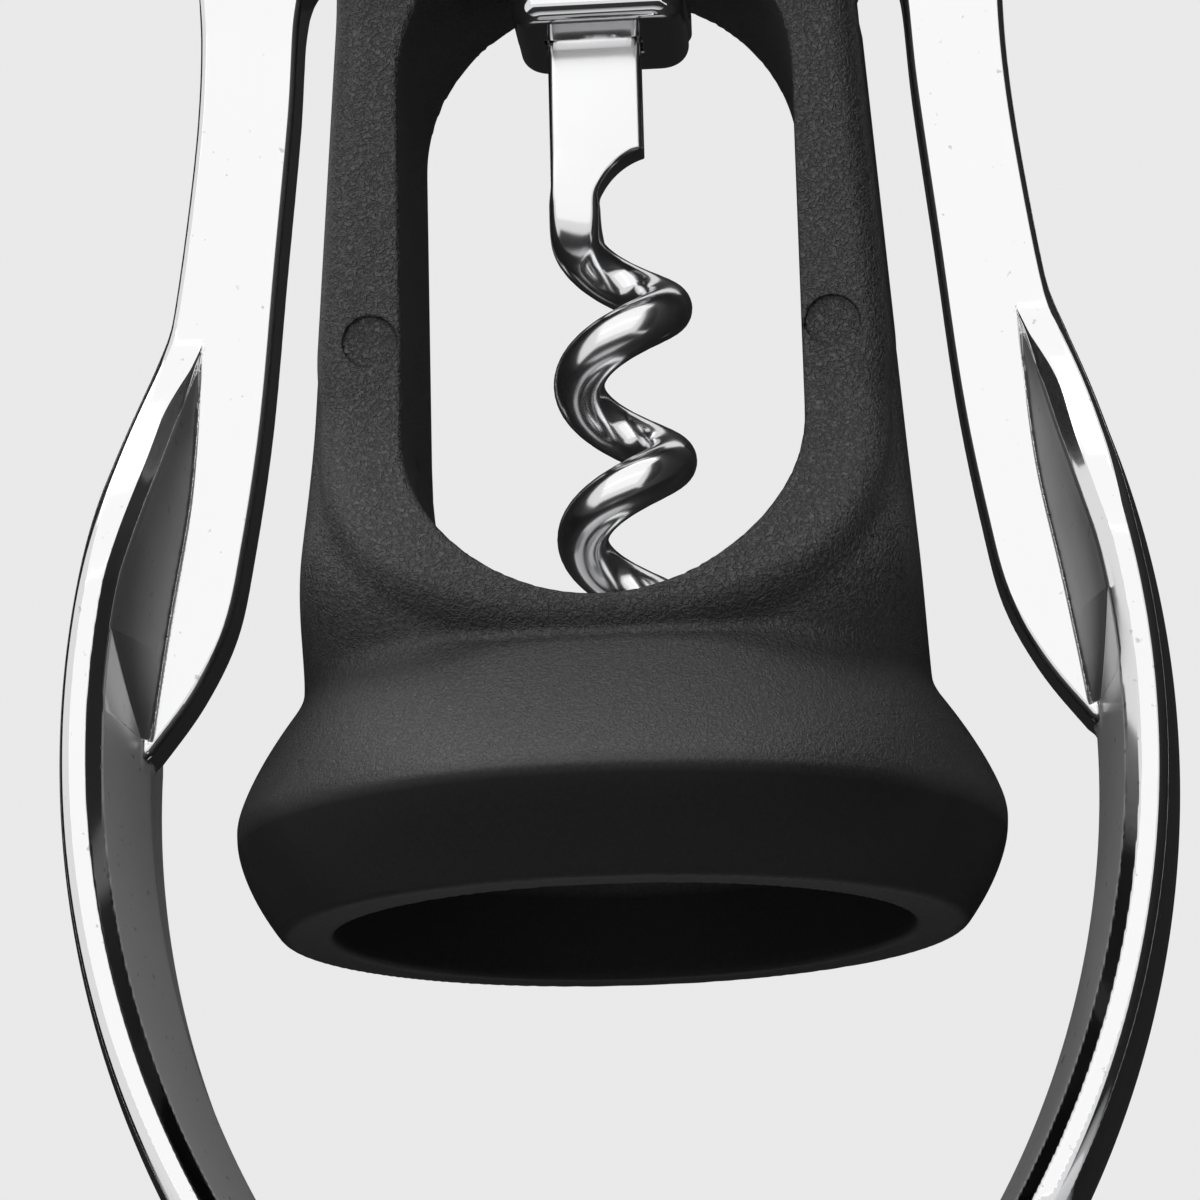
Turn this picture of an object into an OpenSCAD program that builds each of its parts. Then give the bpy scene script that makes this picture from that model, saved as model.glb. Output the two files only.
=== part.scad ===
// Double-lever (wing) corkscrew, standing upright with both arms hanging down.
// Millimetres. Z runs up the screw's axis, X to the right arm, and the front is -Y.
// The origin is the centre of the bell's rim, where the neck of the bottle enters.

/* [Bell] */
// Radius of the bore that drops over the neck of the bottle
bore_r = 16.5; // [16:0.1:17.2]
// Depth of that bore, from the rim up to the seat for the bottle's lip
bore_depth = 9.5; // [8:0.5:10]
// Wall of the bell at its rim
rim_wall = 2.9; // [2:0.1:3.2]
// How far the bell swells beyond its rim
bell_swell = 2.8; // [2:0.1:4]
// Height of the bell's widest line
crest_z = 6.1; // [5:0.1:7]
// Height where the shoulder meets the window frame
waist_z = 15.2; // [14.5:0.1:16]

/* [Window frame] */
// Half width of the window, and radius of the passage for the cork
window_r = 11.45; // [11:0.05:11.9]
// Height of the centre of the window's lower round end
window_low = 28.3; // [27.5:0.1:29.5]
// Height of the centre of the window's arch
window_high = 48.8; // [47:0.1:49.4]
// Width of each upright at the foot of the window
upright_foot = 6.1; // [5.6:0.1:6.6]
// Width of each upright under the head
upright_top = 3.75; // [3.5:0.05:4.2]
// Front-to-back depth of the uprights
frame_d = 16; // [15:0.5:17]
// How far the front and back faces swell towards the foot of the window
frame_swell = 5.2; // [4.6:0.2:6]
// Radius of the frame's long outer edges
edge_r = 2; // [1:0.25:2.5]
// Radius of the two shallow moulding marks on the front
mark_r = 1.55; // [1:0.05:2]

/* [Head] */
// Height of the lever pivots
pivot_z = 75; // [74:0.5:78]
// Radius of the cheek around each pivot
cheek_r = 8; // [7:0.25:9]
// Front-to-back depth of the head
head_d = 18; // [17:0.5:20]
// Height of the guide above the pivots
guide_rise = 12; // [11:0.5:13]
// Radius of the pivot rivets
pin_r = 2; // [1.75:0.05:2.5]

/* [Rack and teeth] */
// Distance from one ring tooth of the rack to the next
tooth_pitch = 4.2; // [4:0.05:4.3]
// Teeth on a full turn of a lever's sector
sector_teeth = 20; // [19:1:20]
// Radius of the rack at its pitch line
rack_pitch_r = 4.9; // [4.8:0.05:5.1]
// Height of a tooth above its pitch line
addendum = 1.2; // [1:0.05:1.25]
// Gap at the flank of a tooth
flank_gap = 0.2; // [0.15:0.01:0.3]
// Angle that a lever swings through
swing = 145; // [120:5:145]
// Radius of the steel rod in the rack
rod_r = 1.95; // [1.8:0.05:2]

/* [Levers] */
// Thickness of a lever's arm
arm_t = 5.5; // [5:0.1:6]
// Running gap between an arm and the cheeks
arm_gap = 0.35; // [0.3:0.05:0.6]
// Width of the thumb pad
pad_w = 20.6; // [18:0.2:22]
// Thickness of the pad along its middle
pad_t = 4.5; // [4:0.1:5]
// Thickness of the pad at its rims
pad_rim = 2.15; // [1.8:0.05:2.5]
// Length over which the arm widens into the pad
pad_rise = 19; // [16:0.5:24]
// How far the pad's back is crowned
pad_crown = 1.25; // [0.8:0.05:1.6]
// Radius of the pad's bow
pad_bow_r = 55.1; // [53:0.1:58]
// Step from the arm's face down to the web beside the pad
web_step = 0.3; // [0.2:0.05:0.6]
// Slope of that web, which climbs to the pad's rim
web_slope = 74; // [60:1:78]

/* [Worm] */
// Outer radius of the worm
worm_r = 4.15; // [3.8:0.05:4.5]
// Radius of the worm's wire
wire_r = 1.5; // [1.3:0.05:1.6]
// Rise of the worm for one turn
worm_pitch = 9.35; // [8.5:0.05:10]
// How far the coil stands off the rod's axis
coil_shift = 0.8; // [0:0.1:1]
// Gap between the worm's point and the seat of the bottle
point_gap = 1; // [0.5:0.1:2.5]
// Width of the flattened shank
shank_w = 5.55; // [5:0.05:6]
// Thickness of the flattened shank
shank_t = 2.4; // [2:0.1:2.8]
// Length from the collar down to the first turn of the coil
shank_l = 12.4; // [11.6:0.1:13.6]

/* [Collar and handle] */
// Width of the square collar under the rack
collar_w = 10.6; // [9.6:0.1:10.8]
// Height of the collar
collar_h = 2.9; // [2.6:0.1:3.6]
// Thickness of the washers at the ends of the rack
washer_t = 0.5; // [0.4:0.05:0.8]
// Width of the handle
handle_w = 43; // [38:1:50]
// Height of the handle's loop
handle_h = 29; // [27:0.5:32]
// Thickness of the handle
handle_t = 7; // [6:0.25:8]
// Radius of the boss under the handle
boss_r = 6.8; // [6.2:0.1:8]
// Height of that boss
boss_h = 9; // [8:0.5:12]

/* [Hidden] */
$fn = 96;
// small running and seating gaps
run_gap = 0.05;
seat_gap = 0.02;
// bell
rim_r = bore_r + rim_wall;
crest_r = rim_r + bell_swell;
// tooth sizes
sector_r = sector_teeth * tooth_pitch / (2 * PI);
dedendum = addendum + 0.4;
pressure = 20;
stroke = sector_r * swing * PI / 180;
rack_tip = rack_pitch_r + addendum;
rack_root = rack_pitch_r - dedendum;
sector_tip = sector_r + addendum;
sector_root = sector_r - dedendum;
// pivots and head
pivot_x = sector_r + rack_pitch_r;
head_top = pivot_z + guide_rise;
guide_r = rack_tip + 0.35;
slot_h = arm_t / 2 + arm_gap;
frame_top = window_high + 8.2;
// stack of pieces along the axis
collar_top = window_high + sqrt(pow(window_r, 2) - pow(collar_w * 0.64, 2)) - 0.75;
sleeve_low = collar_top + washer_t + run_gap;
sleeve_high = head_top + stroke + 0.6;
handle_z = sleeve_high + run_gap + washer_t;
shank_top = collar_top - collar_h - 0.1;
point_z = bore_depth + point_gap;
// rivets
rivet_head_r = pin_r + 1.5;
rivet_head_h = 0.9;
// thumb pad, measured from the pivot
bow_x = 13.52 - pad_bow_r;
bow_z = -65.4;
pad_top_angle = 30.5;
pad_tip_angle = -37.5;

// a smooth path through given points, with n steps between two of them
function spline(a, b, c, d, t) =
    0.5 * (2 * b + (c - a) * t + (2 * a - 5 * b + 4 * c - d) * t * t + (3 * b - a - 3 * c + d) * t * t * t);
function path(p, n) = concat(
    [for (i = [0:len(p) - 2]) for (j = [0:n - 1])
        spline(p[max(i - 1, 0)], p[i], p[i + 1], p[min(i + 2, len(p) - 1)], j / n)],
    [p[len(p) - 1]]);
function ease(t) = let (u = min(max(t, 0), 1)) u * u * (3 - 2 * u);
function arc(cx, cz, r, a0, a1, n) =
    [for (i = [0:n]) let (a = a0 + (a1 - a0) * i / n) [cx + r * cos(a), cz + r * sin(a)]];
function reversed(p) = [for (i = [len(p) - 1:-1:0]) p[i]];

// plates drawn in the XZ plane, and profiles drawn in the YZ plane
module plate(t) { rotate([90, 0, 0]) linear_extrude(height = t, center = true) children(); }
module profile(l) { rotate([90, 0, 90]) linear_extrude(height = l, center = true) children(); }
module cross_pin(r, l) { rotate([90, 0, 0]) cylinder(r = r, h = l, center = true); }

// half width of the frame at a height
function side_x(z) = window_r + upright_foot + (upright_top - upright_foot) * (z - 20.4) / (57 - 20.4);

// bell

module skirt() {
    steps = 10;
    rotate_extrude()
        polygon(concat(
            [[bore_r - 3, 0]],
            [for (i = [0:steps]) let (u = 1 - i / steps) [crest_r - bell_swell * u * u, crest_z * (1 - u)]],
            [[bore_r - 3, crest_z]]));
}

// rings of the shoulder: a circle just inside the crest that grows into the section of the frame
foot_r = crest_r - 0.06;
foot_z = crest_z - 0.05;
function shoulder_x(u) = u < 1 ? foot_r - (foot_r - side_x(waist_z)) * pow(u, 1.5) : side_x(waist_z + (u - 1) * 13);
function shoulder_y(u) = u < 1 ? foot_r + (frame_d / 2 + frame_swell - 1.05 - foot_r) * pow(u, 1.08)
    : frame_d / 2 + (frame_swell - 1.05) * pow(1 - (u - 1), 1.4) - 0.8 * (u - 1);
function shoulder_z(u) = u < 1 ? foot_z + (waist_z - foot_z) * u : waist_z + (u - 1) * 13;
function power(v, e) = sign(v) * pow(abs(v), e);
function ring(u, n) = let (e = 2 / (2 + 0.5 * u))
    [for (i = [0:n - 1]) let (a = 360 * i / n)
        [shoulder_x(u) * power(cos(a), e), shoulder_y(u) * power(sin(a), e), shoulder_z(u)]];

module shoulder() {
    n = 56;
    levels = [for (i = [0:13]) i * 2 / 13];
    points = [for (u = levels) each ring(u, n)];
    m = len(levels);
    walls = [for (k = [0:m - 2]) for (i = [0:n - 1]) let (j = (i + 1) % n)
        each [[k * n + i, (k + 1) * n + i, k * n + j], [k * n + j, (k + 1) * n + i, (k + 1) * n + j]]];
    floor_face = [for (i = [0:n - 1]) i];
    top_face = [for (i = [n - 1:-1:0]) (m - 1) * n + i];
    polyhedron(points = points, faces = concat(walls, [floor_face, top_face]));
}

// front view of the frame and head
module frame_outline() {
    tongue_r = 18.4;
    tongue_z = waist_z - 0.4 + tongue_r;
    flare = [for (i = [0:12]) let (t = i / 12)
        [side_x(frame_top) + (pivot_x + cheek_r - side_x(frame_top)) * ease(t), frame_top + (pivot_z - frame_top) * t]];
    lobe = arc(pivot_x, pivot_z, cheek_r, 0, 75, 8);
    crown = [[guide_r + 4.5, head_top - 1.2], [guide_r + 3.3, head_top]];
    half = concat([[side_x(waist_z), waist_z - 1]], flare, lobe, crown);
    intersection() {
        polygon(concat(half, [for (p = reversed(half)) [-p[0], p[1]]]));
        union() {
            translate([0, tongue_z]) circle(r = tongue_r);
            translate([-60, tongue_z]) square([120, 120]);
        }
    }
}

// side view of the frame and head
module frame_side() {
    half = concat(
        [for (i = [0:12]) let (t = i / 12)
            [frame_d / 2 + frame_swell * pow(1 - t, 1.7), waist_z - 1 + (window_low + 5 - waist_z) * t]],
        [for (i = [0:8]) let (t = i / 8)
            [frame_d / 2 + (head_d - frame_d) / 2 * ease(t), frame_top - 5 + 12 * t]],
        [[head_d / 2, head_top - 1], [head_d / 2 - 1, head_top]]);
    polygon(concat(half, [for (p = reversed(half)) [-p[0], p[1]]]));
}

// rounds the long outer edges of the uprights
module edge_cutter() {
    run = frame_top - 24;
    lean = atan((side_x(24) - side_x(frame_top)) / run);
    translate([side_x(24), -frame_d / 2, 24]) rotate([0, -lean, 0])
        translate([-edge_r, edge_r, 0]) linear_extrude(height = run / cos(lean))
            difference() {
                translate([0, -edge_r - 2]) square([edge_r + 2, edge_r + 2]);
                circle(r = edge_r, $fn = 48);
            }
}

module window_cut() {
    plate(60) {
        translate([0, window_low]) circle(r = window_r);
        translate([0, window_high]) circle(r = window_r);
        translate([-window_r, window_low]) square([2 * window_r, window_high - window_low]);
    }
}

// room for a lever's sector and its arm between the cheeks
module lever_slot() {
    plate(2 * slot_h) {
        translate([pivot_x, pivot_z]) circle(r = sector_tip + 0.5);
        translate([side_x(frame_top) + 0.35, frame_top - 3]) square([40, 60]);
    }
}

module rivet_hole() {
    translate([pivot_x, 0, pivot_z]) {
        cross_pin(pin_r + seat_gap, 40);
        translate([0, -head_d / 2 - 5 + rivet_head_h, 0]) cross_pin(rivet_head_r + 0.3, 10);
        translate([0, head_d / 2 + 5 - rivet_head_h, 0]) cross_pin(rivet_head_r + 0.3, 10);
    }
}

module body() {
    color([0.09, 0.09, 0.095])
    difference() {
        union() {
            skirt();
            shoulder();
            difference() {
                intersection() {
                    plate(60) frame_outline();
                    profile(90) frame_side();
                }
                for (mx = [0, 1], my = [0, 1])
                    mirror([mx, 0, 0]) mirror([0, my, 0]) edge_cutter();
            }
        }
        translate([0, 0, -1]) cylinder(r = bore_r, h = bore_depth + 1);
        cylinder(r = window_r, h = window_low);
        window_cut();
        translate([0, 0, window_high]) cylinder(r = guide_r, h = 60);
        for (m = [0, 1]) mirror([m, 0, 0]) {
            lever_slot();
            rivet_hole();
            translate([window_r + 1.8, -frame_d / 2 - 5 + 0.3, 33.5]) cross_pin(mark_r, 10);
        }
    }
}

// levers

// one involute flank, from the root to the tip, with angles about the tooth's middle
function inv(a) = tan(a) * 180 / PI - a;
function flank(r) = let (base = sector_r * cos(pressure), q = max(r, base + 0.001))
    (tooth_pitch / 2 - 2 * flank_gap) / 2 / sector_r * 180 / PI + inv(pressure) - inv(acos(base / q));
function tooth(a, n) = concat(
    [for (i = [0:n]) let (r = sector_root - 0.4 + (sector_tip - sector_root + 0.4) * i / n)
        [r * cos(a - flank(r)), r * sin(a - flank(r))]],
    [for (i = [n:-1:0]) let (r = sector_root - 0.4 + (sector_tip - sector_root + 0.4) * i / n)
        [r * cos(a + flank(r)), r * sin(a + flank(r))]]);

function inner_edge() = path([[-8.6, -7.4], [-6.2, -11.2], [-3.1, -14.2], [-1.1, -16.2], [-0.3, -18.8], [0.13, -25.2],
    [1.03, -34.5], [1.93, -44], [3.08, -51.6], [4.13, -56.4], [6.1, -60.4], [8.6, -63.8]], 4);
function outer_edge() = path([[10.1, -47.2], [8.6, -41.5], [7.55, -38.3], [6.42, -30.3], [5.83, -24], [5.75, -18.6],
    [6.15, -14.5], [7.4, -10.3], [9.4, -6], [11.2, -2]], 4);
// the arm's edge along the web, and the foot of the pad's rim across from it
function blade_edge() = path([[5.65, -39.2], [6.01, -44.9], [6.5, -49.6], [7.46, -55], [8.21, -59.8], [8.65, -63]], 3);
function rim_edge() = path([[9.1, -62.6], [9.3, -60], [9, -57.2], [8.1, -51.2], [7.1, -45.4], [6.3, -41.5], [5.95, -39]], 3);

module arm_outline() {
    polygon(concat(
        inner_edge(),
        arc(bow_x, bow_z, pad_bow_r - 0.6, -2, 19, 10),
        outer_edge(), [[0, 0]]));
    difference() {
        circle(r = sector_root);
        rotate(216) square(20);
        rotate(270) square(20);
    }
    circle(r = 8.6);
    step = 360 / sector_teeth;
    for (k = [-1:floor((swing + 18) / step) + 1])
        polygon(tooth(180 + step / 2 - k * step, 6));
}

// width of the pad at a height below the pivot
function pad_half(z) = let (low = -91, tip = bow_z + pad_bow_r * sin(pad_tip_angle))
    z > low ? arm_t / 2 + (pad_w / 2 - arm_t / 2) * ease((-37 - z) / pad_rise)
    : pad_w / 2 * pow(max(1 - pow((z - low) / (tip - 0.3 - low), 2.6), 0.0001), 1 / 2.6);

module pad_outline(inset) {
    // the tip is cut level, so that the two lever ends stand flat
    tip = bow_z + pad_bow_r * sin(pad_tip_angle) + 0.4;
    zs = [for (i = [0:24]) -37 + (tip + 37) * i / 24];
    polygon(concat([for (z = zs) [pad_half(z) - inset, z]], [for (z = reversed(zs)) [inset - pad_half(z), z]]));
}

// the pad is bowed along its length, crowned on its back and ridged along the middle of its inner side
module pad() {
    half = pad_w / 2;
    edge = pad_bow_r - pad_crown;
    bevel = 0.6;
    back = [for (i = [-8:8]) [pad_bow_r - pad_crown * pow(i / 8, 2), (half - bevel) * i / 8]];
    rim = [[edge - bevel, half], [edge - pad_rim + bevel, half], [edge - pad_rim, half - bevel]];
    section = concat(back, rim, [[pad_bow_r - pad_t, 0]], [for (p = reversed(rim)) [p[0], -p[1]]]);
    intersection() {
        translate([bow_x, 0, bow_z]) rotate([90, 0, 0]) rotate([0, 0, pad_tip_angle])
            rotate_extrude(angle = pad_top_angle - pad_tip_angle, $fn = 180) polygon(section);
        profile(80) pad_outline(0);
    }
}

// room between the arm's edge and the pad's rim on the front
module web_room() {
    translate([0, web_step - arm_t / 2 - 9, 0]) plate(20) polygon(concat(blade_edge(), rim_edge()));
}

// sloping web that fills this room from the arm's edge up to the rim
module web() {
    top = blade_edge()[0];
    tip = blade_edge()[len(blade_edge()) - 1];
    lean = atan2(tip[0] - top[0], top[1] - tip[1]);
    wide = concat([for (p = blade_edge()) p - [0.4, 0]], [for (p = rim_edge()) p + [0.5, 0]]);
    intersection() {
        plate(pad_w) polygon(wide);
        profile(80) pad_outline(0.7);
        translate([top[0], web_step - arm_t / 2, top[1]]) rotate([0, -lean, 0]) rotate([0, 0, -web_slope])
            translate([-20, 0, -40]) cube([60, 30, 60]);
    }
}

module lever() {
    translate([pivot_x, 0, pivot_z])
    difference() {
        union() {
            difference() {
                union() {
                    plate(arm_t) arm_outline();
                    pad();
                }
                for (m = [0, 1]) mirror([0, m, 0]) web_room();
            }
            for (m = [0, 1]) mirror([0, m, 0]) web();
        }
        cross_pin(pin_r + run_gap, 40);
    }
}

module right_lever() { color([0.8, 0.8, 0.82]) lever(); }
module left_lever() { color([0.8, 0.8, 0.82]) mirror([1, 0, 0]) lever(); }

// rivets and their washers

module rivet() {
    translate([pivot_x, 0, pivot_z]) rotate([90, 0, 0]) {
        translate([0, 0, -head_d / 2 + 0.1]) cylinder(r = pin_r, h = head_d - 0.2);
        translate([0, 0, head_d / 2 - rivet_head_h]) cylinder(r1 = rivet_head_r, r2 = rivet_head_r - 0.5, h = rivet_head_h);
        translate([0, 0, -head_d / 2 - 0.5]) cylinder(r1 = pin_r - 0.2, r2 = pin_r + 0.45, h = 0.8);
    }
}

module rivet_washer() {
    translate([pivot_x, head_d / 2 - rivet_head_h, pivot_z]) rotate([-90, 0, 0])
        difference() {
            cylinder(r = rivet_head_r, h = 0.6);
            translate([0, 0, -1]) cylinder(r = pin_r + seat_gap, h = 3);
        }
}

module right_pivot_rivet() { color([0.7, 0.7, 0.72]) rivet(); }
module left_pivot_rivet() { color([0.7, 0.7, 0.72]) mirror([1, 0, 0]) rivet(); }
module right_rivet_washer() { color([0.62, 0.62, 0.65]) rivet_washer(); }
module left_rivet_washer() { color([0.62, 0.62, 0.65]) mirror([1, 0, 0]) rivet_washer(); }

// rack

// half thickness of a ring tooth at a radius
function ring_half(r) = (tooth_pitch / 2 - 2 * flank_gap) / 2 - (r - rack_pitch_r) * tan(pressure);

module rack_sleeve() {
    low = ceil((sleeve_low + 2.5 - pivot_z) / tooth_pitch);
    high = floor((sleeve_high - 2.5 - pivot_z) / tooth_pitch);
    teeth = [for (k = [low:high]) let (z = pivot_z + k * tooth_pitch)
        each [[rack_root, z - ring_half(rack_root)], [rack_tip, z - ring_half(rack_tip)],
              [rack_tip, z + ring_half(rack_tip)], [rack_root, z + ring_half(rack_root)]]];
    color([0.78, 0.78, 0.8])
    rotate_extrude()
        polygon(concat(
            [[rod_r + 0.1, sleeve_low], [rack_root + 1.4, sleeve_low], [rack_root + 1.4, sleeve_low + 1], [rack_root, sleeve_low + 1.2]],
            teeth,
            [[rack_root, sleeve_high - 1.2], [rack_root + 1.4, sleeve_high - 1], [rack_root + 1.4, sleeve_high],
             [rod_r + 0.1, sleeve_high]]));
}

// worm

coil_mid = worm_r - wire_r;
coil_x = coil_shift - coil_mid;
coil_top = shank_top - shank_l;
coil_turns = (coil_top - point_z) / worm_pitch;
climb = atan(worm_pitch / (2 * PI * coil_mid));
// bend from the upright shank into the coil, drawn on the coil's unrolled cylinder
bend_r = 3;
bend_turn = 90 - climb;
bend_run = bend_r * (1 - cos(bend_turn)) / (2 * PI * coil_mid);
bend_z = coil_top + bend_r * sin(bend_turn) - worm_pitch * bend_run;
// hook cut into the side of the shank
shank_left = coil_x - shank_t / 2 - 0.15;
hook_x = shank_left + shank_w + 1.25;
hook_z = coil_top + 1;
hook_r = 4.3;
sides = 12;

// radius of the wire at a turn counted from the top: it is ground to a point
function wire_at(t) = wire_r * (t < coil_turns - 0.7 ? 1 : 0.08 + 0.92 * pow(max(coil_turns - t, 0) / 0.7, 0.75));

// section of the shank: flat and wide at the top, round like the wire where the bend starts
function shank_ring(z, reach) =
    let (t = ease((bend_z + 2.6 - z) / 2.6), e = 2 / (7 - 5 * t),
         wide = (reach - shank_left) / 2 * (1 - t) + wire_r * t,
         deep = shank_t / 2 * (1 - t) + wire_r * t,
         mid = (reach + shank_left) / 2 * (1 - t) + coil_x * t)
    [for (i = [0:sides - 1]) let (b = 360 * i / sides)
        [mid - wide * power(cos(b), e), deep * power(sin(b), e), z]];

// section of the wire at a turn and height on the coil, tilted by its bend from upright
function wire_ring(t, z, tilt, r) =
    let (a = 180 - 360 * t)
    [for (i = [0:sides - 1]) let (b = 360 * i / sides, u = r * cos(b), v = r * sin(b))
        [coil_shift + (coil_mid + u) * cos(a) + v * cos(tilt) * sin(a),
         (coil_mid + u) * sin(a) - v * cos(tilt) * cos(a),
         z + v * sin(tilt)]];

module wire() {
    hook_steps = 8;
    bend_steps = 5;
    coil_steps = ceil((coil_turns - bend_run) * 22);
    hook_first = asin((hook_x - shank_left - shank_w) / hook_r);
    hook_last = acos((bend_z - hook_z) / hook_r);
    points = concat(
        shank_ring(shank_top, shank_left + shank_w),
        [for (k = [0:hook_steps]) let (h = hook_first + (hook_last - hook_first) * k / hook_steps)
            each shank_ring(hook_z + hook_r * cos(h), hook_x - hook_r * sin(h))],
        [for (k = [1:bend_steps]) let (h = bend_turn * k / bend_steps)
            each wire_ring(bend_r * (1 - cos(h)) / (2 * PI * coil_mid), bend_z - bend_r * sin(h), h, wire_r)],
        [for (k = [1:coil_steps]) let (t = bend_run + (coil_turns - bend_run) * k / coil_steps)
            each wire_ring(t, coil_top - worm_pitch * t, bend_turn, wire_at(t))]);
    rings = len(points) / sides;
    walls = [for (k = [0:rings - 2]) for (i = [0:sides - 1])
        let (j = (i + 1) % sides, low = k * sides, high = low + sides)
        each [[low + i, high + i, low + j], [low + j, high + i, high + j]]];
    start_face = [for (i = [0:sides - 1]) i];
    point_face = [for (i = [sides - 1:-1:0]) (rings - 1) * sides + i];
    polyhedron(points = points, faces = concat(walls, [start_face, point_face]));
}

module worm() {
    color([0.74, 0.74, 0.76])
    difference() {
        union() {
            translate([0, 0, shank_top - 0.6]) cylinder(r = rod_r, h = handle_z + boss_h + 1 - shank_top);
            wire();
        }
        translate([0, 0, collar_top - collar_h / 2]) rotate([0, 90, 0]) cylinder(r = 0.8 + seat_gap, h = 20, center = true);
        translate([0, 0, handle_z + boss_h / 2]) cross_pin(1 + seat_gap, 20);
    }
}

// collar, washers and pins

module rounded_square(w, r) {
    translate([r - w / 2, -w / 2]) square([w - 2 * r, w]);
    translate([-w / 2, r - w / 2]) square([w, w - 2 * r]);
    for (x = [-1, 1], y = [-1, 1]) translate([x * (w / 2 - r), y * (w / 2 - r)]) circle(r = r);
}

module collar() {
    color([0.8, 0.8, 0.82])
    difference() {
        union() {
            translate([0, 0, collar_top - collar_h + 0.9]) linear_extrude(height = collar_h - 0.9) rounded_square(collar_w, 1.9);
            translate([0, 0, collar_top - collar_h]) linear_extrude(height = 1) rounded_square(collar_w - 1.8, 1.6);
        }
        translate([0, 0, collar_top - 20]) cylinder(r = rod_r + seat_gap, h = 40);
        translate([0, 0, collar_top - collar_h / 2]) rotate([0, 90, 0]) cylinder(r = 0.8 + seat_gap, h = 20, center = true);
    }
}

module collar_pin() {
    color([0.66, 0.66, 0.68])
    translate([0, 0, collar_top - collar_h / 2]) rotate([0, 90, 0]) cylinder(r = 0.8, h = collar_w - 0.4, center = true);
}

module washer(z, r) {
    color([0.68, 0.68, 0.7])
    translate([0, 0, z]) difference() {
        cylinder(r = r, h = washer_t);
        translate([0, 0, -1]) cylinder(r = rod_r + seat_gap, h = 3);
    }
}

module lower_washer() { washer(collar_top, rack_root + 1.3); }
module upper_washer() { washer(handle_z - washer_t, rack_root + 1.3); }

// handle with its crown-cap lifter

module handle() {
    end_r = handle_h / 2;
    mid = handle_z + boss_h + end_r - 2.2;
    span = handle_w / 2 - end_r;
    hole_r = end_r - 5.2;
    color([0.8, 0.8, 0.82])
    difference() {
        union() {
            translate([0, 0, handle_z]) cylinder(r = boss_r, h = boss_h);
            plate(handle_t) difference() {
                union() {
                    for (s = [-1, 1]) translate([s * span, mid]) circle(r = end_r);
                    translate([-span, mid - end_r]) square([2 * span, 2 * end_r]);
                }
                difference() {
                    union() {
                        for (s = [-1, 1]) translate([s * span, mid]) circle(r = hole_r);
                        translate([-span, mid - hole_r]) square([2 * span, 2 * hole_r]);
                    }
                    polygon([[-5.5, mid - hole_r - 1], [-4, mid - hole_r + 2.6], [4, mid - hole_r + 2.6], [5.5, mid - hole_r - 1]]);
                }
            }
        }
        translate([0, 0, handle_z - 1]) cylinder(r = rod_r + seat_gap, h = boss_h + 1.6);
        translate([0, 0, handle_z + boss_h / 2]) cross_pin(1 + seat_gap, 40);
    }
}

module handle_pin() {
    color([0.66, 0.66, 0.68])
    translate([0, 0, handle_z + boss_h / 2]) cross_pin(1, 2 * boss_r - 0.4);
}

body();
left_lever();
right_lever();
left_pivot_rivet();
right_pivot_rivet();
left_rivet_washer();
right_rivet_washer();
rack_sleeve();
worm();
collar();
collar_pin();
lower_washer();
upper_washer();
handle();
handle_pin();
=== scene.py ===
"""Looks of a double-lever corkscrew: smooth meshes, finishes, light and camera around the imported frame."""

import math

import bmesh
import bpy
import numpy as np
from mathutils import Matrix, Vector


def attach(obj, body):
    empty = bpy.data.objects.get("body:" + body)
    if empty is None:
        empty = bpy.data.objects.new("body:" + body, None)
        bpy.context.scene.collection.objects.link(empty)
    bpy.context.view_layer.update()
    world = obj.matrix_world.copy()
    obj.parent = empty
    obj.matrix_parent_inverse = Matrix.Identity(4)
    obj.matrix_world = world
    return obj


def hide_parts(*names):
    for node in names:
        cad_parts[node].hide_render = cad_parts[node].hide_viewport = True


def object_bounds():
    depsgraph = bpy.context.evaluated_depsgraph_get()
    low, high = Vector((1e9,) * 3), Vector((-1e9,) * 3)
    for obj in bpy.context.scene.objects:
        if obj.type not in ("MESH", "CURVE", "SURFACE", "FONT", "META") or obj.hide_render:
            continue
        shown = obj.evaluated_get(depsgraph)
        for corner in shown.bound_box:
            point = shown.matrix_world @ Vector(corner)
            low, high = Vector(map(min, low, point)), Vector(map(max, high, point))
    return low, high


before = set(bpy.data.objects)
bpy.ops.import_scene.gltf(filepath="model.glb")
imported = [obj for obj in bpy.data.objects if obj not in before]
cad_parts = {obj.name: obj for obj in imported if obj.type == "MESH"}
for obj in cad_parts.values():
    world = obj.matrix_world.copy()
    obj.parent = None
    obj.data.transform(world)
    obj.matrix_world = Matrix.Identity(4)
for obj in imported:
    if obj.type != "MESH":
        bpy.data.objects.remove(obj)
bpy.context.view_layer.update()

# Sizes in millimetres, with Z up the screw and the front at -Y. Most are those of the solids.
# CREST_R, BELL_SWELL, EDGE_R, BLADE_T, SHANK_L and COLLAR_H are set closer to the photograph,
# and BAND_X and BAND_TOP place a raised band that only the scene has.
MM = 0.001
BORE_R = 16.5
BORE_DEPTH = 9.5
CREST_R = 22.05
CREST_Z = 6.1
BELL_SWELL = 2.65
WAIST_Z = 15.2
WINDOW_R = 11.45
WINDOW_LOW = 28.3
WINDOW_HIGH = 48.8
UPRIGHT_FOOT = 6.1
UPRIGHT_TOP = 3.75
UPRIGHT_Z = 20.4
FRAME_D = 16.0
FRAME_SWELL = 5.2
EDGE_R = 1.7
BAND_X = 16.3
BAND_TOP = 30.0
MARK_R = 1.55
MARK_X = WINDOW_R + 1.8
MARK_Z = 33.5
MARK_DEPTH = 0.25
HEAD_D = 18.0
CHEEK_R = 8.0
PIVOT_Z = 75.0
HEAD_TOP = 87.0
PIN_R = 2.0
RIVET_HEAD_R = 3.5
RIVET_HEAD_H = 0.9
TOOTH_PITCH = 4.2
SECTOR_TEETH = 20
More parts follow.
